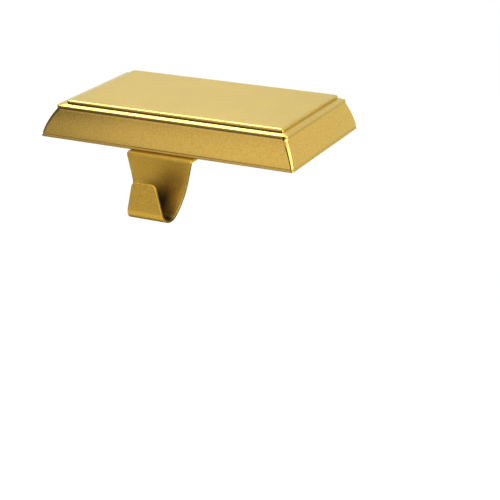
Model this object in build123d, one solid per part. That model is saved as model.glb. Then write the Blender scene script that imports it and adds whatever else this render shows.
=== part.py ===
from build123d import *
import math
import os

# Mantel stocking holder: a moulded metal block that stands on a shelf, with a bent strip hook at its front.
# The origin is the middle of the foot's underside, where it meets the shelf. +X runs along the block's
# length, -Y faces the room and +Z is up. All sizes are in millimetres and degrees.

# Block, outermost at its bottom edge: the moulding runs along the front and both ends, and the plain back
# leans towards the room. The moulding is drawn past the back and the waste is sawn off.
block_length = 130.0
block_depth = 72.0
back_lean = 2.2
back_waste = 8.0

# Foot: the set-back underside that meets the shelf, as deep as the strip let into it
foot_inset = 4.5
foot_corner = 2.0

# Flank: the steep, slightly swollen side, with a fine groove just above its bottom edge
flank_height = 12.15
flank_inset = 5.0
flank_swell = 0.8
flank_foot_corner = 1.2
flank_top_corner = 3.0
bottom_round = 0.3
groove_height = 1.4
groove_width = 0.35
groove_depth = 0.25

# Hollow: the concave run from the flank up to the ledge's upright side
hollow_radius = 1.5

# Ledge: the first step, which slopes gently up to the plateau
ledge_height = 1.25
ledge_rise = 0.45
ledge_round = 0.4

# Plateau: the flat top, with a broad low rounding at its edge and a small cove at its foot
plateau_height = 1.3
plateau_inset = 9.2
plateau_corner = 2.0
plateau_edge_height = 0.55
plateau_edge_width = 1.8
plateau_top_corner = 0.6
plateau_cove = 0.15

# Hook strip, bent from a flat blank that tapers from the neck to the bend and on to the tip
strip_thickness = 1.4
strip_width = 33.0
strip_end_from_middle = 12.0
strip_reach = 3.2
neck_radius = 2.0
back_drop = 8.0
throat_wide_radius = 23.8
throat_wide_turn = 38.6
throat_tight_radius = 4.2
lip_flare = 1.0
lip_length = 13.0
bend_width = 20.4
tip_width = 12.1
tip_corner = 2.5

# Screws that hold the strip in the foot's channel
screw_spacing = 18.0
screw_from_middle = 23.0
screw_shank = 3.0
screw_length = 9.0
screw_slot_width = 0.7
screw_slot_depth = 0.7

# Clearances
channel_clearance = 0.25
screw_clearance = 0.1
drill_clearance = 0.5

# How far an edge may lie from the level that it is looked for at
level_margin = 0.01

# Steps in which a rounded edge of the moulding is drawn
edge_steps = 3

# Levels and places worked out from the sizes above
bottom_level = strip_thickness
flank_lean = math.atan((flank_inset + 4 * flank_swell) / flank_height)
flank_level = bottom_level + flank_height
hollow_level = flank_level + hollow_radius * math.sin(flank_lean)
ledge_inset = flank_inset + hollow_radius * (1 - math.cos(flank_lean))
ledge_edge_level = hollow_level + ledge_height
ledge_level = ledge_edge_level + ledge_rise
plateau_level = ledge_level + plateau_height
strip_front = -block_depth / 2 - strip_reach
strip_end = -strip_end_from_middle
screw_head = screw_shank + 2 * strip_thickness


def outline(inset, corner, level):
    """Rounded rectangle at a level, inset from the bottom edge at front and ends, drawn past the back."""
    width = block_length - 2 * inset
    depth = block_depth - inset + back_waste
    return Pos(0, (inset + back_waste) / 2, level) * RectangleRounded(width, depth, corner)


def edges_at(solid, level):
    """Edges of a solid that lie in the plane at one level."""
    return solid.edges().filter_by_position(Axis.Z, level - level_margin, level + level_margin)


def flank_inset_at(height):
    """Inset of the flank at a height above the bottom edge: a straight slope less a parabola."""
    share = height / flank_height
    return flank_inset * share - 4 * flank_swell * share * (1 - share)


def flank():
    """Swollen side of the block, with a rounded bottom edge and a fine groove above it."""
    middle_corner = (flank_foot_corner + flank_top_corner) / 2
    middle_level = bottom_level + flank_height / 2
    side = loft([
        outline(0, flank_foot_corner, bottom_level),
        outline(flank_inset_at(flank_height / 2), middle_corner, middle_level),
        outline(flank_inset, flank_top_corner, flank_level),
    ])
    side = fillet(edges_at(side, bottom_level), bottom_round)
    groove_level = bottom_level + groove_height - groove_width / 2
    groove_floor = flank_inset_at(groove_height) + groove_depth
    ring = extrude(outline(-groove_width, flank_foot_corner, groove_level), groove_width)
    core = extrude(outline(groove_floor, flank_foot_corner, groove_level), groove_width)
    return side - (ring - core)


def hollow():
    """Concave run from the flank's top to the ledge's upright side, through the middle of its arc."""
    half_turn = flank_lean / 2
    middle_inset = ledge_inset - hollow_radius * (1 - math.cos(half_turn))
    middle_level = hollow_level - hollow_radius * math.sin(half_turn)
    return loft([
        outline(flank_inset, flank_top_corner, flank_level),
        outline(middle_inset, flank_top_corner, middle_level),
        outline(ledge_inset, flank_top_corner, hollow_level),
    ])


def rounded_edge(inset, level, width, height, turn, corner, last_corner):
    """Outlines up a rounded edge: an ellipse that starts upright at an inset and turns inwards."""
    sections = []
    for step in range(edge_steps + 1):
        angle = turn * step / edge_steps
        share = 1 - math.cos(angle)
        step_corner = corner + (last_corner - corner) * share
        sections.append(outline(inset + width * share, step_corner, level + height * math.sin(angle)))
    return sections


def ledge():
    """Upright side, rounded edge and sloping top of the ledge, each lofted on the one below."""
    slope_end = plateau_inset - plateau_cove
    turn = math.pi / 2 - math.atan2(ledge_rise, slope_end - ledge_inset)
    edge_level = ledge_edge_level - ledge_round * math.tan(turn / 2)
    edge = rounded_edge(
        ledge_inset, edge_level, ledge_round, ledge_round, turn, flank_top_corner, flank_top_corner)
    upright = loft([outline(ledge_inset, flank_top_corner, hollow_level), edge[0]])
    slope = loft([edge[-1], outline(slope_end, plateau_corner + plateau_cove, ledge_level)])
    return upright + loft(edge) + slope


def plateau():
    """Flat top with a broad rounded edge, on an upright side with a small cove at its foot."""
    edge = rounded_edge(
        plateau_inset, plateau_level - plateau_edge_height, plateau_edge_width, plateau_edge_height,
        math.pi / 2, plateau_corner, plateau_top_corner)
    upright = loft([outline(plateau_inset, plateau_corner, ledge_level), edge[0]])
    cove = loft([
        outline(plateau_inset - plateau_cove, plateau_corner + plateau_cove, ledge_level),
        outline(plateau_inset, plateau_corner, ledge_level + plateau_cove),
    ])
    return upright + cove + loft(edge)


def back_offcut():
    """Waste behind the plain back, which leans from the bottom edge to the plateau."""
    back = block_depth / 2
    side_view = make_face(Polyline(
        (back, bottom_level),
        (back - back_lean, plateau_level),
        (back + 2 * back_waste, plateau_level),
        (back + 2 * back_waste, bottom_level),
        close=True))
    return extrude(Plane.YZ * side_view, block_length, both=True)


def moulded_body():
    """Flank, hollow, ledge and plateau, one on the other, sawn off at the back."""
    return flank() + hollow() + ledge() + plateau() - back_offcut()


def screw_places():
    """The two screws' centres on the underside."""
    return [Pos(side * screw_spacing / 2, -screw_from_middle, 0) for side in (-1, 1)]


def block():
    """Cast block with its set-back foot, the channel for the strip and the holes for the screws."""
    foot = extrude(RectangleRounded(
        block_length - 2 * foot_inset, block_depth - 2 * foot_inset, foot_corner), bottom_level)
    channel_width = strip_width + 2 * channel_clearance
    channel_end = strip_end + channel_clearance
    channel_length = channel_end + block_depth / 2
    channel = Pos(0, channel_end - channel_length / 2, strip_thickness / 2) * Box(
        channel_width, channel_length, strip_thickness)
    hole_depth = screw_length - strip_thickness + drill_clearance
    hole = Pos(0, 0, bottom_level + hole_depth / 2) * Cylinder(
        screw_shank / 2 + screw_clearance, hole_depth)
    solid = moulded_body() + (foot - channel)
    for place in screw_places():
        solid -= place * hole
    return solid


def front_prism(half_widths, back_y, front_y, top_corner=0):
    """Symmetrical front view, given as (half width, level) pairs from the top down, carried along Y."""
    right = list(half_widths)
    left = [(-half, level) for half, level in reversed(right)]
    face = make_face(Polyline(*right, *left, close=True))
    if top_corner:
        face = fillet(face.vertices().sort_by(Axis.Y)[-2:], top_corner)
    return Pos(0, back_y, 0) * (Plane.XZ * extrude(face, back_y - front_y))


def hook():
    """Bent strip: its front face in the side view, thickened to the back and cut to the blank's taper."""
    run = Line((strip_end, strip_thickness), (strip_front + neck_radius, strip_thickness))
    neck = JernArc(run @ 1, run % 1, neck_radius, 90)
    back = Line(neck @ 1, (strip_front, -back_drop))
    wide = JernArc(back @ 1, back % 1, throat_wide_radius, -throat_wide_turn)
    tight_turn = 180 - throat_wide_turn - lip_flare
    tight = JernArc(wide @ 1, wide % 1, throat_tight_radius, -tight_turn)
    lip = PolarLine(tight @ 1, lip_length, direction=tight % 1)
    front_face = Wire([curve.edge() for curve in (run, neck, back, wide, tight, lip)])
    side_view = make_face(front_face.offset_2d(strip_thickness, side=Side.LEFT))
    sheet = extrude(Plane.YZ * side_view, strip_width / 2, both=True)

    lowest_share = (90 - throat_wide_turn) / tight_turn
    lowest = tight @ lowest_share
    lowest_level = lowest.Y - strip_thickness
    falling = back.length + wide.length + tight.length * lowest_share
    rising = tight.length * (1 - lowest_share) + lip.length
    taper_falling = (strip_width - bend_width) / 2 / falling
    taper_rising = (bend_width - tip_width) / 2 / rising
    back_view = front_prism([
        (strip_width / 2, strip_thickness),
        (strip_width / 2, (neck @ 1).Y),
        (strip_width / 2 - taper_falling * back.length, (back @ 1).Y),
        (strip_width / 2 - taper_falling * (back.length + wide.length), (wide @ 1).Y),
        (bend_width / 2, lowest_level),
    ], strip_end, lowest.X)
    lip_view = front_prism([
        (tip_width / 2, (lip @ 1).Y),
        (tip_width / 2 + taper_rising * lip.length, (lip @ 0).Y),
        (bend_width / 2, lowest_level),
    ], lowest.X, (lip @ 1).X - strip_thickness, tip_corner)
    solid = sheet & (back_view + lip_view)

    countersink = Pos(0, 0, strip_thickness / 2) * Cone(
        screw_head / 2 + screw_clearance, screw_shank / 2 + screw_clearance, strip_thickness)
    for place in screw_places():
        solid -= place * countersink
    return solid


def screw():
    """Countersunk screw, its head as deep as the strip, with a cross slot."""
    head = Pos(0, 0, strip_thickness / 2) * Cone(screw_head / 2, screw_shank / 2, strip_thickness)
    shank_length = screw_length - strip_thickness
    shank = Pos(0, 0, strip_thickness + shank_length / 2) * Cylinder(screw_shank / 2, shank_length)
    slot = Pos(0, 0, screw_slot_depth / 2) * Box(screw_shank, screw_slot_width, screw_slot_depth)
    return head + shank - slot - Rot(0, 0, 90) * slot


nodes = {
    "block": block(),
    "hook": hook(),
    "hook_screws": Compound([place * screw() for place in screw_places()]),
}
os.makedirs("parts", exist_ok=True)
for name, shape in nodes.items():
    export_step(shape, os.path.join("parts", name + ".step"))
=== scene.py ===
import math

import bmesh
import bpy
import numpy as np
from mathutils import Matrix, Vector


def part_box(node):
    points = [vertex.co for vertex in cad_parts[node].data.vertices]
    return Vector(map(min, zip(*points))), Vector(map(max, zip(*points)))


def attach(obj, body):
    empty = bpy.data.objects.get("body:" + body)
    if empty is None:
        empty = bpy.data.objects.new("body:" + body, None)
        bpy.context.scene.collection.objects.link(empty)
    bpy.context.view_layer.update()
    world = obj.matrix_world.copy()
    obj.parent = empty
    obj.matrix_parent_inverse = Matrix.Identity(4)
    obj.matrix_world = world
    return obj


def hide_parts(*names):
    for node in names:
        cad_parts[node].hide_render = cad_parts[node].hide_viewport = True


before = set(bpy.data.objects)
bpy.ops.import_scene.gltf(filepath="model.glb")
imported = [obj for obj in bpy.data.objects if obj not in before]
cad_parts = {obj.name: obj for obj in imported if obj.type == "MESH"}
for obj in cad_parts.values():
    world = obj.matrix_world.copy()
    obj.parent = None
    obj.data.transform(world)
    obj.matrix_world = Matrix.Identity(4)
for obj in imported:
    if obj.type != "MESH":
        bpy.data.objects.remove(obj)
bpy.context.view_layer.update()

bl_info = {
    "name": "Mantel stocking holder",
    "version": (1, 0, 0),
    "blender": (4, 5, 0),
    "location": "3D View > Sidebar > Stocking holder",
    "description": "Builds the moulded block, the strip hook and the studio round a packed stocking holder",
    "category": "Add Mesh",
}

# The frame is in metres: +X along the block, -Y towards the room, +Z up from the shelf.
MM = 0.001
BODY = "root"
BLOCK_LOW, BLOCK_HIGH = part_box("block")
HOOK_LOW, HOOK_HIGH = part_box("hook")
SCREWS_LOW, SCREWS_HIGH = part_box("hook_screws")

# Steps in which the stretches of the surfaces are drawn
CORNER_STEPS = 14
ROUND_STEPS = 10
FLANK_STEPS = 28
HOLE_STEPS = 48
NECK_STEPS, BACK_STEPS, WIDE_STEPS, TIGHT_STEPS, LIP_STEPS = 13, 4, 17, 43, 5
FLOOR_SPOKES, FLOOR_RINGS = 96, 24

# The floor's innermost ring, as a share of its radius
FLOOR_HUB = 0.02

# An edge that turns by more than this is sharp
SHARP_ANGLE = math.radians(35)

# Painted shade, kept as a mesh attribute that darkens the gold. Three painted dark lines run round the block,
# above the plateau's foot, the top of the hollow and the bottom edge, each by a share of its reach. Their
# depths differ between the front and the ends, with a blend round the corners.
PAINTED_SHADE = "painted_shade"
SHADE_LINE_RISES = np.array([0.6, 0.8, 0.8])
FRONT_SHADE_DEPTHS = np.array([1, 1, 0.32])
END_SHADE_DEPTHS = np.array([0.04, 0.42, 0.15])
CORNER_BLEND = (0.3, 0.7)

# The throat's painted shade starts along the wide bend, and fades across the strip further out the deeper it
# lies
THROAT_START = (-0.12, 0.24)
THROAT_EDGE = (-0.3, 0.4)
THROAT_SPREAD = 1.1

# A noise varies round its middle; grains are a noise stretched between two limits
NOISE_MIDDLE = 0.5
GRAIN_LIMITS = (0.3, 0.7)

# Sockets of a Mix node that mixes colours
MIX_FACTOR, MIX_FIRST, MIX_SECOND, MIX_RESULT = 0, 6, 7, 2
WHITE = (1, 1, 1, 1)


def length_setting(name, description, default):
    """A length property, kept in metres."""
    return bpy.props.FloatProperty(name=name, description=description, default=default, unit="LENGTH")


def angle_setting(name, description, degrees):
    """An angle property, given in degrees."""
    return bpy.props.FloatProperty(
        name=name, description=description, default=math.radians(degrees), subtype="ANGLE")


def colour_setting(name, description, default):
    """A colour property, in linear light."""
    return bpy.props.FloatVectorProperty(
        name=name, description=description, default=default, size=3, min=0, max=1, subtype="COLOR")


def plain_setting(name, description, default):
    """A property without a unit, such as a roughness or a strength."""
    return bpy.props.FloatProperty(name=name, description=description, default=default, min=0)


class BlockSizes(bpy.types.PropertyGroup):
    """Sizes of the moulded block, from its bottom edge inwards and upwards."""

    length: length_setting("Length", "Bottom edge to bottom edge along X", BLOCK_HIGH.x - BLOCK_LOW.x)
    depth: length_setting("Depth", "Bottom edge to bottom edge along Y", 72.0 * MM)
    bottom: length_setting("Bottom", "Level of the bottom edge above the shelf", 1.4 * MM)
    bottom_round: length_setting("Bottom round", "Rounding of the bottom edge", 0.42 * MM)
    groove_level: length_setting("Groove level", "Groove's middle above the bottom edge", 1.1 * MM)
    groove_depth: length_setting("Groove depth", "Depth of the groove round the bottom", 0.3 * MM)
    groove_reach: length_setting("Groove reach", "Half of the groove's width", 0.45 * MM)
    flank_height: length_setting("Flank height", "Flank above the bottom edge", 12.15 * MM)
    flank_inset: length_setting("Flank inset", "Flank's top behind its foot", 5.0 * MM)
    flank_swell: length_setting("Flank swell", "How far the flank stands out of a straight line", 0.8 * MM)
    flank_foot_corner: length_setting("Flank foot corner", "Corner radius at the flank's foot", 1.2 * MM)
    flank_top_corner: length_setting("Flank top corner", "Corner radius at the flank's top", 3.0 * MM)
    cove_radius: length_setting("Cove radius", "Hollow between flank and ledge", 1.5 * MM)
    ledge_height: length_setting("Ledge height", "Ledge's upright side", 1.25 * MM)
    ledge_rise: length_setting("Ledge rise", "How far the ledge slopes up to the plateau", 0.45 * MM)
    ledge_round: length_setting("Ledge round", "Rounding of the ledge's edge", 0.4 * MM)
    plateau_height: length_setting("Plateau height", "Plateau above the ledge", 1.3 * MM)
    plateau_inset: length_setting("Plateau inset", "Plateau's side behind the bottom edge", 9.2 * MM)
    plateau_corner: length_setting("Plateau corner", "Corner radius of the plateau", 1.0 * MM)
    plateau_round: length_setting("Plateau round", "Height of the rounded edge of the plateau", 0.55 * MM)
    plateau_crown: length_setting("Plateau crown", "Width of the rounded edge of the plateau", 1.8 * MM)
    plateau_top_corner: length_setting("Plateau top corner", "Corner radius inside the rounding", 0.4 * MM)
    plateau_cove: length_setting("Plateau cove", "Hollow at the plateau's foot", 0.15 * MM)
    # Reaches of the three painted dark lines of shade
    plateau_shade_reach: length_setting("Plateau nook", "Reach of the dark line at the plateau's foot", 0.4 * MM)
    ledge_shade_reach: length_setting("Ledge nook", "Reach of the dark line under the ledge", 0.55 * MM)
    groove_shade_reach: length_setting("Groove nook", "Reach of the soft dark line round the bottom", 0.9 * MM)
    back_lean: length_setting("Back lean", "Plain back's top in front of its foot", 2.2 * MM)
    back_round: length_setting("Back round", "Rounding of the plain back's edges", 0.15 * MM)
    foot_inset: length_setting("Foot inset", "Foot's side behind the bottom edge", 4.5 * MM)
    foot_corner: length_setting("Foot corner", "Corner radius of the foot", 2.0 * MM)
    channel_clearance: length_setting("Channel clearance", "Room round the strip in the foot", 0.25 * MM)
    hold: length_setting("Hold", "Width of the strip of faces that keeps a flat face flat", 0.15 * MM)


class HookSizes(bpy.types.PropertyGroup):
    """Sizes of the strip hook, along its front face from the hidden end to the tip."""

    thickness: length_setting("Thickness", "Thickness of the strip", 1.4 * MM)
    width: length_setting("Width", "Width under the block", HOOK_HIGH.x - HOOK_LOW.x)
    end: length_setting("End", "Place of the hidden end along Y", HOOK_HIGH.y)
    reach: length_setting("Reach", "Front face ahead of the rim", 3.2 * MM)
    neck_radius: length_setting("Neck radius", "Outer bend from under the block", 1.5 * MM)
    back_drop: length_setting("Back drop", "Straight back below the shelf", 8.0 * MM)
    wide_radius: length_setting("Wide radius", "Wide inner bend of the throat", 23.8 * MM)
    wide_turn: angle_setting("Wide turn", "Turn of the wide bend", 38.6)
    tight_radius: length_setting("Tight radius", "Tight inner bend of the throat", 4.2 * MM)
    lip_flare: angle_setting("Lip flare", "Lean of the lip away from the block", 1)
    lip_length: length_setting("Lip length", "Straight lip", 13.0 * MM)
    bend_width: length_setting("Bend width", "Width at the lowest point", 20.4 * MM)
    tip_width: length_setting("Tip width", "Width at the tip", 11.6 * MM)
    tip_corner: length_setting("Tip corner", "Corner radius of the tip", 2.5 * MM)
    edge_round: length_setting("Edge round", "Rounding of the sheet's edges", 0.3 * MM)
    screw_spacing: length_setting("Screw spacing", "Between the screws' axes", 18.0 * MM)
    screw_shank: length_setting("Screw shank", "Diameter of the screws' shanks", 3.0 * MM)
    screw_clearance: length_setting("Screw clearance", "Room round the screws", 0.1 * MM)
    patch: length_setting("Patch", "Side of the square of faces round a screw hole", 8.0 * MM)


class FinishSettings(bpy.types.PropertyGroup):
    """Colours and gloss of the finishes."""

    gold: colour_setting("Gold", "Plated finish of block and hook", (0.76, 0.473, 0.083))
    gold_dark: colour_setting("Dark gold", "Grains of the finish that lie deeper", (0.562, 0.344, 0.046))
    # Painted shade: the near-black colour that the recesses and the throat are darkened towards
    gold_painted_shade: colour_setting("Gold recess", "Thin dark plating deep in a recess", (0.04, 0.03, 0.012))
    gold_edge: colour_setting("Gold edge", "Tint of the gold at a grazing angle", (0.71, 0.7, 0.22))
    gold_roughness: plain_setting("Gold roughness", "Roughness of the casting", 0.16)
    strip_roughness: plain_setting("Strip roughness", "Roughness of the strip", 0.46)
    coat: plain_setting("Coat", "Weight of the clear lacquer on the casting", 0.8)
    strip_coat: plain_setting("Strip coat", "Weight of the clear lacquer on the strip", 0.05)
    coat_roughness: plain_setting("Coat roughness", "Roughness of the clear lacquer", 0.22)
    grain: length_setting("Grain", "Size of the finish's grains", 0.7 * MM)
    cloud: length_setting("Cloud", "Size of the broad clouds in the gloss", 15.4 * MM)
    cast_relief: length_setting("Cast relief", "Depth of the grains on the casting", 0.008 * MM)
    strip_relief: length_setting("Strip relief", "Depth of the grains on the strip", 0.006 * MM)
    grain_share: plain_setting("Grain share", "Share of the grains in the colour, beside the clouds", 0.8)
    grain_gloss: plain_setting("Grain gloss", "How far the grains vary the roughness", 0.06)
    cloud_gloss: plain_setting("Cloud gloss", "How far the clouds vary the roughness", 0.08)
    steel: colour_setting("Steel", "Plated steel of the screws", (0.55, 0.55, 0.54))
    steel_dark: plain_setting("Dark steel", "Share of the steel's colour left in its marks", 0.75)
    steel_roughness: plain_setting("Steel roughness", "Roughness of the steel in its marks", 0.26)
    steel_gloss: plain_setting("Steel gloss", "How far the roughness rises between the marks", 0.14)
    mark: length_setting("Mark", "Size of the turning marks on the screws", 0.4 * MM)


class StageSettings(bpy.types.PropertyGroup):
    """Floor, surround, cards and camera."""

    floor_drop: length_setting("Floor drop", "Floor below the shelf's level", 0.25)
    floor_radius: length_setting("Floor radius", "Where the floor has faded out", 1.2)
    floor_fade: length_setting("Floor fade", "Where the floor starts to fade out", 0.36)
    floor_colour: colour_setting("Floor colour", "Pale floor", (0.82, 0.82, 0.81))
    floor_white: plain_setting("Floor white", "Share of plain white in the floor that is seen", 0.75)
    world_light: plain_setting("World light", "Strength of the surround as a light", 0.95)
    card_y: length_setting("Card Y", "Place of the two cards in front of the object", -1.0)
    card_left: length_setting("Card left", "Left end of the graded card", -1.6)
    card_middle: length_setting("Card middle", "Where the graded card meets the dark one", 0.05)
    card_right: length_setting("Card right", "Right end of the dark card", 0.75)
    card_top: length_setting("Card top", "Upper edge of the two cards in front", 2.0)
    card_gap: length_setting("Card gap", "Lower edge of the cards above the floor", 0.003)
    side_x: length_setting("Side X", "Place of the card on the left", -1.0)
    side_front: length_setting("Side front", "Front end of the card on the left", -0.6)
    side_back: length_setting("Side back", "Back end of the card on the left", 0.8)
    side_top: length_setting("Side top", "Upper edge of the card on the left", 1.0)
    mat_y: length_setting("Mat Y", "Back edge of the mat on the floor", -0.52)
    mat_half: length_setting("Mat half", "Half of the mat's width", 1.0)
    shelf_y: length_setting("Shelf Y", "Place of the flag that stands for the shelf", -37.3 * MM)
    shelf_z: length_setting("Shelf Z", "Upper edge of the flag that stands for the shelf", -0.5 * MM)
    shelf_half: length_setting("Shelf half", "Half of that flag's width", 0.5)
    camera_x: length_setting("Camera X", "Place of the camera", 0.3125)
    camera_y: length_setting("Camera Y", "Place of the camera", -0.57439)
    camera_z: length_setting("Camera Z", "Place of the camera", 0.20469)
    camera_azimuth: angle_setting("Camera azimuth", "Turn of the view to the left of +Y", 26.300)
    camera_elevation: angle_setting("Camera elevation", "How far the view looks down", 21.936)
    camera_roll: angle_setting("Camera roll", "Tilt of the picture", 0.554)
    camera_lens: bpy.props.FloatProperty(
        name="Camera lens", description="Focal length", default=104.45, unit="CAMERA")


# Surfaces

def ramp(value, low, high):
    """Smooth step: the share t of the way from low to high, as t squared times three less two t."""
    part = np.clip((value - low) / (high - low), 0, 1)
    return part * part * (3 - 2 * part)


def arc(centre, radius, start, stop, steps):
    """Arc of a circle in a plane: centre plus radius times cosine and sine, between two angles in degrees."""
    turn = np.radians(np.linspace(start, stop, steps + 1))
    return np.stack([centre[0] + radius * np.cos(turn), centre[1] + radius * np.sin(turn)], axis=1)


def flank_inset(size, level):
    """Inset of the flank at levels above the bottom edge: a straight run less a parabola, plus the groove's
    dip, which is its depth times the squared cosine of the distance from its middle."""
    part = level / size.flank_height
    swell = 4 * size.flank_swell * part * (1 - part)
    away = np.clip((level - size.groove_level) / size.groove_reach, -1, 1)
    return size.flank_inset * part - swell + size.groove_depth * np.cos(away * math.pi / 2) ** 2


def block_profile(size):
    """Inset, level, corner radius and painted shade (at the front, at the ends) of every ring of the
    moulding, from
    the plateau down to the bottom edge: rounded plateau, cove, sloping ledge with a rounded edge, hollow,
    swollen flank with a groove, rounded bottom edge. The painted shade, darkness painted into the recesses,
    is the deepest of three bell curves, one for the distance from each painted dark line."""
    slope = (size.flank_inset + 4 * size.flank_swell) / size.flank_height
    lean = math.atan(slope)
    ledge_inset = size.flank_inset + size.cove_radius * (1 - math.cos(lean))
    cove_top = size.flank_height + size.cove_radius * math.sin(lean)
    ledge_low = cove_top + size.ledge_height
    ledge_high = ledge_low + size.ledge_rise
    top = ledge_high + size.plateau_height
    foot = size.plateau_inset - size.plateau_cove
    pitch = math.atan2(size.ledge_rise, foot - ledge_inset)
    edge_reach = size.ledge_round * math.tan((math.pi / 2 - pitch) / 2)
    edge = (ledge_inset + size.ledge_round, ledge_low - edge_reach)
    inner = size.plateau_inset + size.plateau_crown
    crown = arc((0, 0), 1, 90, 180, ROUND_STEPS) * (size.plateau_crown, size.plateau_round)
    pitch_degrees = math.degrees(pitch)
    foot_cove = (foot, ledge_high + size.plateau_cove)
    plateau = np.vstack([
        [inner + size.hold, top],
        crown + (inner, top - size.plateau_round),
        arc(foot_cove, size.plateau_cove, 0, pitch_degrees - 90, ROUND_STEPS),
    ])
    ledge = arc(edge, size.ledge_round, 90 + pitch_degrees, 180, ROUND_STEPS)
    hollow = (ledge_inset - size.cove_radius, cove_top)
    cove = arc(hollow, size.cove_radius, 0, -math.degrees(lean), ROUND_STEPS)
    bottom = size.bottom_round
    level = np.union1d(
        np.linspace(bottom, size.flank_height, FLANK_STEPS),
        size.groove_level + size.groove_reach * np.linspace(-1, 1, ROUND_STEPS + 1))[::-1]
    flank = np.stack([flank_inset(size, level), level], axis=1)[1:]
    rim = arc((flank[-1, 0] + bottom, bottom), bottom, 180, 270, ROUND_STEPS)[1:]
    points = np.vstack([plateau, ledge, cove, flank, rim])
    flank_corner = size.flank_foot_corner + (size.flank_top_corner - size.flank_foot_corner) * np.clip(
        points[:, 1] / size.flank_height, 0, 1)
    upper_corner = np.interp(points[:, 0], [ledge_inset, size.plateau_inset, inner],
                             [size.flank_top_corner, size.plateau_corner, size.plateau_top_corner])
    corner = np.where(points[:, 1] > size.flank_height, upper_corner, flank_corner)
    reaches = np.array([size.plateau_shade_reach, size.ledge_shade_reach, size.groove_shade_reach])
    nook_insets = np.array([size.plateau_inset, ledge_inset, 0])
    nook_levels = np.array([ledge_high, cove_top, 0]) + SHADE_LINE_RISES * reaches
    nooks = np.stack([nook_insets, nook_levels], axis=1)
    away = np.linalg.norm(points[:, None] - nooks, axis=-1) / reaches
    bells = np.exp(-away ** 2)
    painted_shades = [(bells * depths).max(axis=1) for depths in (FRONT_SHADE_DEPTHS, END_SHADE_DEPTHS)]
    return np.column_stack([points + [0, size.bottom], corner, *painted_shades])


def outward(profile, rim_top):
    """Outward directions of the profile's points in (inset, level): square to the line through both
    neighbours, and level below the rim's top."""
    along = np.gradient(profile[:, :2], axis=0)
    across = np.stack([along[:, 1], -along[:, 0]], axis=1)
    across /= np.linalg.norm(across, axis=1, keepdims=True)
    across[profile[:, 1] < rim_top] = (-1, 0)
    return across


def block_rings(size, notch):
    """Half rings of the moulding from the plain back along the right end to the notch at the front, joined
    with their mirror images. A corner is its centre plus its radius times cosine and sine; the back edge is
    rounded by moving each profile point inwards as it nears the back plane."""
    profile = block_profile(size)[:, :3]
    rows = len(profile)
    half_length, half_depth = size.length / 2, size.depth / 2
    inset, level, corner = (column[:, None] for column in profile.T)
    out = outward(profile, size.bottom + size.bottom_round)
    turn = np.radians(np.linspace(0, 90, ROUND_STEPS // 2 + 1))
    sunk = size.back_round * (1 - np.sin(turn))
    ahead = size.back_round * (1 - np.cos(turn))
    back_x = half_length - (inset - sunk * out[:, :1])
    back_z = level - sunk * out[:, 1:]
    lean = size.back_lean / (profile[0, 1] - size.bottom)
    back_y = half_depth - lean * (back_z - size.bottom) - ahead
    sweep = np.radians(np.linspace(0, -90, CORNER_STEPS + 1))
    side_x = half_length - inset - corner * (1 - np.cos(sweep))
    side_y = inset - half_depth + corner * (1 + np.sin(sweep))
    x = np.hstack([back_x, side_x, np.full((rows, 1), notch)])
    y = np.hstack([back_y, side_y, inset - half_depth])
    z = np.hstack([back_z, np.broadcast_to(level, (rows, CORNER_STEPS + 2))])
    return with_mirror_image(np.stack([x, y, z], axis=-1))


def foot_rings(size, notch):
    """Half rings of the foot at its top and underside, with rounded corners, joined with their mirror
    images."""
    centre = np.array([size.length, size.depth]) / 2 - size.foot_inset - size.foot_corner
    corner = size.foot_corner
    back = arc((centre[0], centre[1]), corner, 90, 0, ROUND_STEPS // 2)
    front = arc((centre[0], -centre[1]), corner, 0, -90, CORNER_STEPS)
    outline = np.vstack([back, front, [notch, -centre[1] - corner]])
    rings = [np.column_stack([outline, np.full(len(outline), level)]) for level in (size.bottom, 0)]
    return with_mirror_image(np.stack(rings))


def with_mirror_image(half):
    """Rows of points followed by their mirror images in reverse order."""
    return np.concatenate([half, half[:, ::-1] * (-1, 1, 1)], axis=1)


def grid_faces(rows, columns):
    """Quads between neighbouring rows and columns of a grid, as (row, column, 4) indices."""
    index = np.arange(rows * columns).reshape(rows, columns)
    return np.stack([index[:-1, :-1], index[:-1, 1:], index[1:, 1:], index[1:, :-1]], axis=-1)


def ring_faces(rows, columns):
    """Quads between neighbouring rings of a grid whose rows close up, as (row, column, 4) indices."""
    index = np.arange(rows * columns).reshape(rows, columns)
    following = np.roll(index, -1, axis=1)
    return np.stack([index[:-1], following[:-1], following[1:], index[1:]], axis=-1)


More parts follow.
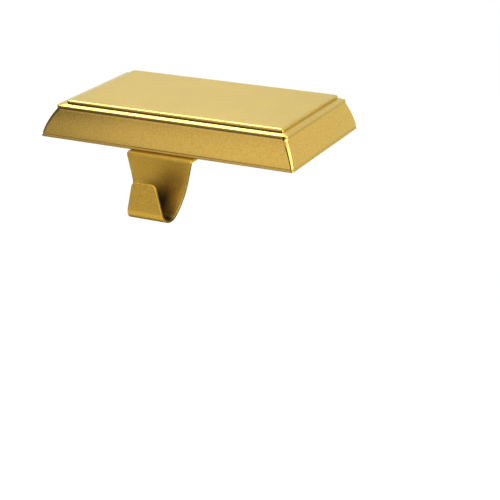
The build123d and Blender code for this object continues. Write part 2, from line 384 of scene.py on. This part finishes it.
def block_surface(size, hook):
    """Closed surface of the block: the moulding's rings, the plain back, and the foot with a channel in its
    front; and the painted shade at every point, blended round the corners by a smooth step."""
    notch = hook.width / 2 + size.channel_clearance
    channel_end = hook.end + size.channel_clearance
    moulding = block_rings(size, notch)
    rings = np.concatenate([moulding, foot_rings(size, notch)])
    rows, columns = rings.shape[:2]
    index = np.arange(rows * columns).reshape(rows, columns)
    rim = len(moulding) - 1
    left, right = columns // 2, columns // 2 - 1
    last = columns - 1
    edge = ROUND_STEPS // 2

    channel = [[x, channel_end, z] for z in (size.bottom, 0) for x in (-notch, notch)]
    vertices = np.vstack([rings.reshape(-1, 3), channel])
    upper_left, upper_right, lower_left, lower_right = range(rows * columns, rows * columns + 4)
    quads = grid_faces(rows, columns)
    keep = np.ones((rows - 1, columns - 1), bool)
    keep[-1, right] = False
    top = index[0]
    back_edge = np.stack([top[:edge], top[1:edge + 1], top[last - edge:last][::-1], top[::-1][:edge]], axis=1)
    faces = quads[keep].tolist() + back_edge.tolist() + [
        top[edge:last - edge + 1].tolist(),
        index[:rim + 1, 0].tolist() + index[:rim + 1, last][::-1].tolist(),
        [index[rim, last], index[rim, 0], index[-2, 0], index[-2, last]],
        [index[-2, last], index[-2, 0], index[-1, 0], index[-1, last]],
        [index[-2, left], index[-2, right], upper_right, upper_left],
        [index[-2, left], upper_left, lower_left, index[-1, left]],
        [index[-2, right], index[-1, right], lower_right, upper_right],
        [upper_left, upper_right, lower_right, lower_left],
        index[-1, :left].tolist() + [lower_right, lower_left] + index[-1, left:].tolist(),
    ]
    round_corner = ramp(np.linspace(0, 1, CORNER_STEPS + 1), *CORNER_BLEND)
    half_front = np.r_[np.zeros(edge + 1), round_corner, 1]
    front = np.r_[half_front, half_front[::-1]]
    # Painted shade on the moulding's rings, none on the foot
    painted_shade = np.zeros((rows, columns))
    at_front, at_ends = block_profile(size)[:, 3:].T[..., None]
    painted_shade[:rim + 1, 1:last] = (at_ends + (at_front - at_ends) * front)[:, 1:last]
    return vertices, faces, np.pad(painted_shade.ravel(), (0, len(vertices) - painted_shade.size))


class StripPath:
    """Side view of the strip's front face: straight and round stretches, each tangent to the one before."""

    def __init__(self, size, rim_y):
        front = rim_y - size.reach
        run = size.end - (front + size.neck_radius)
        back = size.back_drop + size.thickness - size.neck_radius
        tight_turn = math.pi - size.wide_turn - size.lip_flare
        lengths = np.array([
            run,
            size.neck_radius * math.pi / 2,
            back,
            size.wide_radius * size.wide_turn,
            size.tight_radius * tight_turn,
            size.lip_length,
        ])
        turns = np.array([0, math.pi / 2, 0, -size.wide_turn, -tight_turn, 0])
        self.ends = np.cumsum(lengths)
        self.starts = self.ends - lengths
        self.bend = turns / lengths
        self.heading = math.pi + np.cumsum(turns) - turns
        steps = self.step(lengths, self.heading, self.bend)
        origin = np.array([size.end, size.thickness])
        self.origins = origin + np.cumsum(steps, axis=0) - steps
        to_lowest = size.tight_radius * (math.pi / 2 - size.wide_turn)
        self.lowest = self.starts[4] + to_lowest

    @staticmethod
    def step(distance, heading, bend):
        """Chord of an arc: distance times sine of half the turn over half the turn, on the mean heading."""
        half_turn = bend * distance / 2
        chord = distance * np.sinc(half_turn / math.pi)
        mean = heading + half_turn
        return np.stack([chord * np.cos(mean), chord * np.sin(mean)], axis=-1)

    def at(self, distance):
        """Points (y, z) of the front face and its outward normals at distances from the hidden end."""
        stretch = np.clip(np.searchsorted(self.ends, distance), 0, len(self.ends) - 1)
        along = distance - self.starts[stretch]
        heading, bend = self.heading[stretch], self.bend[stretch]
        point = self.origins[stretch] + self.step(along, heading, bend)
        final = heading + bend * along
        return point, np.stack([np.sin(final), -np.cos(final)], axis=-1)


def strip_edge(size):
    """Rounded edge of the sheet from front to back: (inset from the outline, depth below the front face)."""
    turn = np.radians(np.linspace(0, 90, ROUND_STEPS // 2 + 1))
    inset = size.edge_round * (1 - np.sin(turn))
    depth = size.edge_round * (1 - np.cos(turn))
    return np.r_[inset, inset[::-1]], np.r_[depth, size.thickness - depth[::-1]]


def strip_stations(size, path, screw_y):
    """Distances of the cross-sections along the strip, up to where the tip's corners begin."""
    hole = size.end - screw_y
    neck, back, wide, tight, lip = list(zip(path.starts, path.ends))[1:]
    return np.concatenate([
        [0, hole - size.patch / 2, hole + size.patch / 2],
        np.linspace(*neck, NECK_STEPS + 1),
        np.linspace(*back, BACK_STEPS + 1)[1:],
        np.linspace(*wide, WIDE_STEPS + 1)[1:],
        np.linspace(*tight, TIGHT_STEPS + 1)[1:],
        np.linspace(lip[0], lip[1] - size.tip_corner, LIP_STEPS + 1)[1:-1],
    ])


def strip_outline(size, path, inset, stations):
    """Distance and half width of the blank's outline for every cross-section and edge point. The half width
    runs straight from neck to bend to tip; the tip's corners are arcs tangent to the sides and to the end."""
    marks = [0, path.ends[1], path.lowest, path.ends[-1]]
    half_widths = np.array([size.width, size.width, size.bend_width, size.tip_width]) / 2
    taper = (half_widths[2] - half_widths[3]) / (marks[3] - marks[2])
    lean = math.atan(taper)
    half = np.interp(stations, marks, half_widths)[:, None] - inset
    distance = np.broadcast_to(stations[:, None], half.shape)
    radius = size.tip_corner
    turn = np.linspace(lean, math.pi / 2, ROUND_STEPS + 1)[:, None]
    corner_middle = half_widths[3] + taper * radius - radius / math.cos(lean)
    corner_half = corner_middle + (radius - inset) * np.cos(turn)
    corner_distance = marks[3] - radius + (radius - inset) * np.sin(turn)
    return np.vstack([distance, corner_distance]), np.vstack([half, corner_half])


def painted_throat_shade(size, path, along, below, across):
    """Painted shade in the throat, how dark a point of the strip is painted: on the inner face a smooth step
    down the wide bend, which fades towards the lip, and towards both edges sooner above than below."""
    share = (along - path.starts[3]) / (path.lowest - path.starts[3])
    on_inner_face = below < size.thickness / 2
    inside = on_inner_face * ramp(share, *THROAT_START) * (1 - ramp(along, path.lowest, path.ends[4]))
    return inside * (1 - ramp(np.abs(across) - THROAT_SPREAD * share, *THROAT_EDGE))


def hook_surface(size, rim_y, screw_y):
    """Closed surface of the strip: cross-sections with rounded edges carried along the path, with screw
    holes; and the painted shade of the throat at every point."""
    path = StripPath(size, rim_y)
    inset, depth = strip_edge(size)
    distance, half = strip_outline(size, path, inset, strip_stations(size, path, screw_y))
    rows, edge_points = distance.shape
    flat_half = size.width / 2 - size.edge_round
    screw_x = np.array([-1, -1, 1, 1]) * size.screw_spacing / 2
    patch_sides = screw_x + np.array([-1, 1, -1, 1]) * size.patch / 2
    shares = patch_sides / flat_half
    inner = len(shares)

    # Each loop runs across the front, down the right edge, back across the rear and up the left edge
    flat_distance = np.repeat(distance[:, :1], inner, axis=1)
    flat_x = half[:, :1] * shares
    x = np.hstack([flat_x, half, flat_x[:, ::-1], -half[:, ::-1]])
    along = np.hstack([flat_distance, distance, flat_distance, distance[:, ::-1]])
    below = np.hstack([np.zeros(inner), depth, np.full(inner, size.thickness), depth[::-1]])
    point, normal = path.at(along)
    side = point - below[:, None] * normal
    loops = np.concatenate([x[..., None], side], axis=-1)
    # Painted shade in the throat of the hook
    painted_shade = painted_throat_shade(size, path, along, below, x / half.max(axis=1, keepdims=True))
    columns = x.shape[1]
    quads = ring_faces(rows, columns)

    # The two patches on each face that hold a screw hole are left out of the grid
    hole_row = 1
    front_patches = [0, 2]
    rear = inner + edge_points
    rear_patches = [rear + 2, rear]
    keep = np.ones((rows - 1, columns), bool)
    keep[hole_row, front_patches + rear_patches] = False
    faces = quads[keep].tolist()
    vertices = [loops.reshape(-1, 3)]
    count = rows * columns
    shank_radius = size.screw_shank / 2 + size.screw_clearance
    head_radius = shank_radius + size.thickness
    turn = np.radians(np.arange(HOLE_STEPS) * 360 / HOLE_STEPS)
    for sign, front_patch, rear_patch in zip((-1, 1), front_patches, rear_patches):
        first = count
        for radius, level, patch in (
                (shank_radius, size.thickness, front_patch), (head_radius, 0, rear_patch)):
            circle = np.stack([
                sign * size.screw_spacing / 2 + radius * np.cos(turn),
                screw_y + radius * np.sin(turn),
                np.full(HOLE_STEPS, level),
            ], axis=1)
            vertices.append(circle)
            faces += patch_faces(loops.reshape(-1, 3), quads[hole_row, patch], circle, count)
            count += HOLE_STEPS
        upper = first + np.arange(HOLE_STEPS)
        following = np.roll(upper, -1)
        wall = np.stack([upper, following, following + HOLE_STEPS, upper + HOLE_STEPS], axis=1)
        faces += wall.tolist()

    faces += tip_faces((rows - 1) * columns, inner, edge_points)
    hidden_end = list(range(columns))
    faces.append(hidden_end)
    vertices = np.vstack(vertices)
    return vertices, faces, np.pad(painted_shade.ravel(), (0, len(vertices) - painted_shade.size))


def tip_faces(first, inner, edge_points):
    """Faces that close the tip: quads between the right and left edges of the strip's last loop, counted from
    the loop's first point, and one face along its front and one along its rear."""
    rear, left = inner + edge_points, 2 * inner + edge_points
    right_edge = first + inner + np.arange(edge_points)
    left_edge = first + left + np.arange(edge_points)[::-1]
    rungs = np.stack([left_edge[:-1], right_edge[:-1], right_edge[1:], left_edge[1:]], axis=1)
    front_line = [first + column for column in range(inner)]
    rear_line = [first + rear + column for column in range(inner)]
    return rungs[1:-1].tolist() + [
        [left_edge[0], *front_line, right_edge[0], right_edge[1], left_edge[1]],
        [right_edge[-1], *rear_line, left_edge[-1], left_edge[-2], right_edge[-2]],
    ]


def patch_faces(vertices, square, circle, first):
    """Four faces that fill a square round a circular hole: each has one side of the square and the quarter of
    the circle that lies nearest to it."""
    quarter = HOLE_STEPS // 4
    centre = circle.mean(axis=0)
    corners = vertices[square] - centre
    bearing = np.arctan2(corners[:, 1], corners[:, 0])
    order = np.argsort(bearing)
    starts = np.round(bearing[order] / (2 * math.pi) * HOLE_STEPS).astype(int)
    faces = []
    for place in range(4):
        near, far = square[order[place]], square[order[(place + 1) % 4]]
        arc_points = first + (starts[place] + np.arange(quarter, -1, -1)) % HOLE_STEPS
        faces.append([int(near), int(far), *arc_points.tolist()])
    return faces


def add_object(name, content):
    """New object of a mesh, a lamp or a camera, linked to the scene."""
    added = bpy.data.objects.new(name, content)
    bpy.context.scene.collection.objects.link(added)
    return added


def make_piece(name, vertices, faces, painted_shade, material, node):
    """Mesh object of a closed surface that stands for a node of the frame. It is smooth but for its sharp
    edges and its large flat faces, which have more than four sides. The painted shade of each point, how
    dark it is painted in a recess, is kept as an attribute."""
    mesh = bpy.data.meshes.new(name)
    mesh.from_pydata(vertices.tolist(), [], faces)
    mesh.attributes.new(PAINTED_SHADE, "FLOAT", "POINT").data.foreach_set("value", painted_shade.astype(np.float32))
    solid = bmesh.new()
    solid.from_mesh(mesh)
    open_edges = [edge for edge in solid.edges if not edge.is_manifold]
    if open_edges:
        raise RuntimeError(f"{name} has {len(open_edges)} open edges")
    bmesh.ops.recalc_face_normals(solid, faces=solid.faces)
    solid.to_mesh(mesh)
    solid.free()
    sides = np.zeros(len(mesh.polygons), np.int32)
    mesh.polygons.foreach_get("loop_total", sides)
    mesh.shade_smooth()
    mesh.set_sharp_from_angle(angle=SHARP_ANGLE)
    mesh.polygons.foreach_set("use_smooth", sides <= 4)
    mesh.materials.append(material)
    piece = add_object(name, mesh)
    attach(piece, BODY)
    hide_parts(node)


# Shader maths

class Wire:
    """A socket that takes part in Python expressions: each operator adds a Math node to its graph."""

    def __init__(self, graph, socket):
        self.graph = graph
        self.socket = socket

    def math(self, operation, *values):
        """Adds a Math node of an operation on values."""
        sockets = dict(enumerate(values))
        return self.graph.node("ShaderNodeMath", {"operation": operation}, sockets)

    def __add__(self, other):
        return self.math("ADD", self, other)

    def __radd__(self, other):
        return self.math("ADD", other, self)

    def __sub__(self, other):
        return self.math("SUBTRACT", self, other)

    def __rsub__(self, other):
        return self.math("SUBTRACT", other, self)

    def __mul__(self, other):
        return self.math("MULTIPLY", self, other)

    def __rmul__(self, other):
        return self.math("MULTIPLY", other, self)


class Graph:
    """A material's or world's node tree under construction."""

    def __init__(self, owner):
        owner.use_nodes = True
        self.tree = owner.node_tree
        self.tree.nodes.clear()

    def node(self, kind, settings=None, sockets=None, output=0):
        """Adds a node of a type, makes its settings, then fills its sockets; returns one of its outputs."""
        node = self.tree.nodes.new(kind)
        for name, value in (settings or {}).items():
            setattr(node, name, value)
        for name, value in (sockets or {}).items():
            if isinstance(value, Wire):
                self.tree.links.new(value.socket, node.inputs[name])
            else:
                node.inputs[name].default_value = value
        return Wire(self, node.outputs[output]) if node.outputs else None

    def mix_colour(self, factor, first, second):
        """Mix of two colours by a factor."""
        sockets = {MIX_FACTOR: factor, MIX_FIRST: first, MIX_SECOND: second}
        return self.node("ShaderNodeMix", {"data_type": "RGBA"}, sockets, output=MIX_RESULT)

    def mix_shader(self, factor, first, second):
        """Mix of two shaders by a factor."""
        return self.node("ShaderNodeMixShader", {}, {0: factor, 1: first, 2: second})

    def object_place(self):
        """Place of the shaded point in the object's own axes."""
        return self.node("ShaderNodeTexCoord", output="Object")

    def remap(self, value, low, high, new_low, new_high):
        """Smooth step of a value from one range to another."""
        sockets = {
            "Value": value, "From Min": low, "From Max": high, "To Min": new_low, "To Max": new_high}
        return self.node("ShaderNodeMapRange", {"interpolation_type": "SMOOTHSTEP"}, sockets)


# Finishes

def opaque(rgb):
    """Colour socket value of a property's colour."""
    return (*rgb, 1.0)


def noise(graph, place, size, detail):
    """Cloud noise whose features are about one size across."""
    sockets = {"Vector": place, "Scale": 1 / size, "Detail": detail, "Roughness": 0.5}
    return graph.node("ShaderNodeTexNoise", {}, sockets)


def gold_finish(name, finish, roughness, coat, relief_depth):
    """Satin gold plating under a clear lacquer: sandy grains vary its colour, gloss and relief, broad clouds
    vary its colour and gloss, and where shade is painted into a recess it is dark and bare of lacquer."""
    material = bpy.data.materials.new(name)
    graph = Graph(material)
    place = graph.object_place()
    grains = graph.remap(noise(graph, place, finish.grain, detail=2), *GRAIN_LIMITS, 0, 1)
    clouds = noise(graph, place, finish.cloud, detail=3)
    blend = grains * finish.grain_share + clouds * (1 - finish.grain_share)
    plating = graph.mix_colour(blend, opaque(finish.gold_dark), opaque(finish.gold))
    # Painted shade: the attribute mixes the gold towards its painted dark colour and takes the lacquer off
    painted_shade = graph.node("ShaderNodeAttribute", {"attribute_name": PAINTED_SHADE}, output="Fac")
    base = graph.mix_colour(painted_shade, plating, opaque(finish.gold_painted_shade))
    relief = graph.node("ShaderNodeBump", {}, {
        "Height": grains, "Strength": 1.0, "Distance": relief_depth})
    cloud_part = finish.cloud_gloss * (clouds - NOISE_MIDDLE)
    grain_part = finish.grain_gloss * (grains - NOISE_MIDDLE)
    surface = graph.node("ShaderNodeBsdfPrincipled", {}, {
        "Base Color": base,
        "Metallic": 1.0,
        "Roughness": roughness + cloud_part + grain_part,
        "Specular Tint": opaque(finish.gold_edge),
        "Coat Weight": coat * (1 - painted_shade * painted_shade),
        "Coat Roughness": finish.coat_roughness,
        "Normal": relief,
    })
    graph.node("ShaderNodeOutputMaterial", {}, {"Surface": surface})
    return material


def steel_finish(name, finish):
    """Plated steel of the screws, faintly turned."""
    material = bpy.data.materials.new(name)
    graph = Graph(material)
    place = graph.object_place()
    marks = noise(graph, place, finish.mark, detail=2)
    dark = opaque([finish.steel_dark * level for level in finish.steel])
    surface = graph.node("ShaderNodeBsdfPrincipled", {}, {
        "Base Color": graph.mix_colour(marks, dark, opaque(finish.steel)),
        "Metallic": 1.0,
        "Roughness": finish.steel_roughness + finish.steel_gloss * marks,
    })
    graph.node("ShaderNodeOutputMaterial", {}, {"Surface": surface})
    return material


# Pieces

class STOCKING_OT_block(bpy.types.Operator):
    """Build the moulded block in place of its node"""

    bl_idname = "stocking_holder.block"
    bl_label = "Moulded block"

    def execute(self, context):
        scene = context.scene
        vertices, faces, painted_shade = block_surface(scene.holder_block, scene.holder_hook)
        finish = scene.holder_finish
        gold = gold_finish("cast_gold", finish, finish.gold_roughness, finish.coat, finish.cast_relief)
        make_piece("moulded_block", vertices, faces, painted_shade, gold, "block")
        return {"FINISHED"}


class STOCKING_OT_hook(bpy.types.Operator):
    """Build the bent strip hook in place of its node"""

    bl_idname = "stocking_holder.hook"
    bl_label = "Strip hook"

    def execute(self, context):
        scene = context.scene
        screw_y = (SCREWS_LOW.y + SCREWS_HIGH.y) / 2
        rim_y = -scene.holder_block.depth / 2
        vertices, faces, painted_shade = hook_surface(scene.holder_hook, rim_y, screw_y)
        finish = scene.holder_finish
        gold = gold_finish(
            "strip_gold", finish, finish.strip_roughness, finish.strip_coat, finish.strip_relief)
        make_piece("strip_hook", vertices, faces, painted_shade, gold, "hook")
        return {"FINISHED"}


class STOCKING_OT_screws(bpy.types.Operator):
    """Give the two screws under the block their steel finish"""

    bl_idname = "stocking_holder.screws"
    bl_label = "Strip screws"

    def execute(self, context):
        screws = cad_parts["hook_screws"]
        steel = steel_finish("screw_steel", context.scene.holder_finish)
        for place in screws.material_slots:
            place.material = steel
        return {"FINISHED"}


# Stage

def unlit_rays(graph):
    """Mask of the rays that look at the surround: the camera's, and those that gloss and glass send on."""
    rays = graph.node("ShaderNodeLightPath")
    names = ("Is Camera Ray", "Is Glossy Ray", "Is Transmission Ray")
    camera, gloss, transmission = (Wire(graph, rays.socket.node.outputs[name]) for name in names)
    return camera + gloss + transmission


def studio_world(world, strength):
    """White surround that lights the object softly."""
    graph = Graph(world)
    light = graph.node("ShaderNodeBackground", {}, {"Color": WHITE, "Strength": strength})
    white = graph.node("ShaderNodeBackground", {}, {"Color": WHITE, "Strength": 1.0})
    seen = graph.mix_shader(unlit_rays(graph), light, white)
    graph.node("ShaderNodeOutputWorld", {}, {"Surface": seen})


def floor_surface(stage):
    """Flat disc of rings and spokes: radius share times cosine and sine."""
    turn = np.linspace(0, 2 * math.pi, FLOOR_SPOKES, endpoint=False)
    radius = np.linspace(FLOOR_HUB, 1, FLOOR_RINGS)[:, None] * stage.floor_radius
    level = np.full((FLOOR_RINGS, FLOOR_SPOKES), -stage.floor_drop)
    points = np.stack([radius * np.cos(turn), radius * np.sin(turn), level], axis=-1)
    faces = ring_faces(FLOOR_RINGS, FLOOR_SPOKES)[..., ::-1].reshape(-1, 4).tolist()
    return points.reshape(-1, 3), faces + [list(range(FLOOR_SPOKES))]


def floor_finish(stage):
    """Pale floor that takes the shadow and fades out into the white round it."""
    material = bpy.data.materials.new("pale_floor")
    graph = Graph(material)
    place = graph.object_place()
    flat_place = graph.node("ShaderNodeVectorMath", {"operation": "MULTIPLY"}, {0: place, 1: (1, 1, 0)})
    reach = graph.node("ShaderNodeVectorMath", {"operation": "LENGTH"}, {0: flat_place}, output="Value")
    fade = graph.remap(reach, stage.floor_fade, stage.floor_radius, 0, 1)
    matt = graph.node("ShaderNodeBsdfDiffuse", {}, {"Color": opaque(stage.floor_colour)})
    white = graph.node("ShaderNodeEmission", {}, {"Color": WHITE, "Strength": 1.0})
    pale = graph.mix_shader(stage.floor_white * unlit_rays(graph), matt, white)
    clear = graph.node("ShaderNodeBsdfTransparent")
    surface = graph.mix_shader(fade, pale, clear)
    graph.node("ShaderNodeOutputMaterial", {}, {"Surface": surface})
    return material


def upright(left, right, place, low, high):
    """Corners of an upright rectangle along X, at a place along Y."""
    return [(left, place, low), (right, place, low), (right, place, high), (left, place, high)]


def grey_card(name, corners, levels, span=(0, 1), rise=0):
    """Matt card of the studio, a quad of four corners that only the gloss meets, graded from one grey level
    to another over a span along X, plus a rise times Z."""
    material = bpy.data.materials.new(name)
    graph = Graph(material)
    place = graph.object_place()
    sockets = {0: place, 1: (1, 0, rise)}
    along = graph.node("ShaderNodeVectorMath", {"operation": "DOT_PRODUCT"}, sockets, output="Value")
    start, stop = (
        graph.node("ShaderNodeBsdfDiffuse", {}, {"Color": (level, level, level, 1)}) for level in levels)
    matt = graph.mix_shader(graph.remap(along, *span, 0, 1), start, stop)
    graph.node("ShaderNodeOutputMaterial", {}, {"Surface": matt})
    mesh = bpy.data.meshes.new(name)
    mesh.from_pydata(corners, [], [range(len(corners))])
    mesh.materials.append(material)
    card = add_object(name, mesh)
    card.visible_camera = card.visible_diffuse = card.visible_shadow = False


def softbox(name, place, target, width, height, power):
    """Rectangular soft lamp that faces a point."""
    lamp = bpy.data.lights.new(name, "AREA")
    lamp.shape = "RECTANGLE"
    lamp.size, lamp.size_y = width, height
    lamp.energy = power
    holder = add_object(name, lamp)
    holder.rotation_euler = facing_angles(np.array(place) - np.array(target))
    holder.location = place


def facing_angles(away):
    """Euler angles that turn a lamp's back along a direction, with its top up."""
    level = math.hypot(away[0], away[1])
    return (math.atan2(level, away[2]), 0, math.atan2(away[0], -away[1]))


def set_cards(stage):
    """Sets the cards that the gold mirrors: in front, on the left, on the floor and where the shelf ends."""
    low = stage.card_gap - stage.floor_drop
    in_front = upright(stage.card_left, stage.card_middle, stage.card_y, low, stage.card_top)
    grey_card("front_card", in_front, levels=(0.262, 0.775), span=(-0.91, -0.39), rise=0.22)
    on_the_right = upright(stage.card_middle, stage.card_right, stage.card_y, low, stage.card_top)
    grey_card("dark_card", on_the_right, levels=(0.12, 0.12))
    grey_card("left_card", [
        (stage.side_x, stage.side_front, low),
        (stage.side_x, stage.side_front, stage.side_top),
        (stage.side_x, stage.side_back, stage.side_top),
        (stage.side_x, stage.side_back, low),
    ], levels=(0.1, 0.1))
    grey_card("front_mat", [
        (-stage.mat_half, stage.card_y, low),
        (-stage.mat_half, stage.mat_y, low),
        (stage.mat_half, stage.mat_y, low),
        (stage.mat_half, stage.card_y, low),
    ], levels=(0.12, 0.12))
    under_the_shelf = upright(-stage.shelf_half, stage.shelf_half, stage.shelf_y, low, stage.shelf_z)
    grey_card("shelf_flag", under_the_shelf, levels=(0.03, 0.03))


def studio_camera(stage):
    """Camera at the photograph's viewing angle."""
    lens = bpy.data.cameras.new("camera")
    lens.lens = stage.camera_lens
    camera = add_object("camera", lens)
    camera.location = (stage.camera_x, stage.camera_y, stage.camera_z)
    look_down = math.pi / 2 - stage.camera_elevation
    camera.rotation_euler = (look_down, stage.camera_roll, stage.camera_azimuth)
    return camera


class STOCKING_OT_stage(bpy.types.Operator):
    """Lay the floor, set the surround, the cards and the lamps, and place the camera"""

    bl_idname = "stocking_holder.stage"
    bl_label = "Studio"

    def execute(self, context):
        scene = context.scene
        stage = scene.holder_stage
        points, faces = floor_surface(stage)
        mesh = bpy.data.meshes.new("floor")
        mesh.from_pydata(points.tolist(), [], faces)
        mesh.materials.append(floor_finish(stage))
        floor = add_object("floor", mesh)
        scene.world = bpy.data.worlds.new("studio")
        studio_world(scene.world, stage.world_light)
        set_cards(stage)
        back, right = (-0.606, 0.673, 0.658), (0.85, -0.3, 0.5)
        softbox("back_softbox", back, target=(0, 0, 0), width=0.68, height=0.26, power=4.2)
        softbox("right_softbox", right, target=(0, -0.3, 0.3), width=0.8, height=1.5, power=12)
        scene.camera = studio_camera(stage)
        scene.view_settings.view_transform = "Standard"
        return {"FINISHED"}


OPERATORS = (STOCKING_OT_block, STOCKING_OT_hook, STOCKING_OT_screws, STOCKING_OT_stage)
SETTINGS = {
    "holder_block": BlockSizes,
    "holder_hook": HookSizes,
    "holder_finish": FinishSettings,
    "holder_stage": StageSettings,
}


class VIEW3D_PT_stocking_holder(bpy.types.Panel):
    """Sizes, finishes and steps of the stocking holder"""

    bl_label = "Stocking holder"
    bl_space_type = "VIEW_3D"
    bl_region_type = "UI"
    bl_category = "Stocking holder"

    def draw(self, context):
        for setting, group in SETTINGS.items():
            column = self.layout.column()
            for name in group.__annotations__:
                column.prop(getattr(context.scene, setting), name)
        for operator in OPERATORS:
            self.layout.operator(operator.bl_idname)


def register():
    for group in SETTINGS.values():
        bpy.utils.register_class(group)
    for setting, group in SETTINGS.items():
        setattr(bpy.types.Scene, setting, bpy.props.PointerProperty(type=group))
    for operator in OPERATORS:
        bpy.utils.register_class(operator)
    bpy.utils.register_class(VIEW3D_PT_stocking_holder)


def unregister():
    bpy.utils.unregister_class(VIEW3D_PT_stocking_holder)
    for operator in reversed(OPERATORS):
        bpy.utils.unregister_class(operator)
    for setting, group in SETTINGS.items():
        delattr(bpy.types.Scene, setting)
        bpy.utils.unregister_class(group)


def main():
    """Builds every piece and the stage."""
    register()
    bpy.ops.stocking_holder.block()
    bpy.ops.stocking_holder.hook()
    bpy.ops.stocking_holder.screws()
    bpy.ops.stocking_holder.stage()


if __name__ == "__main__":
    main()
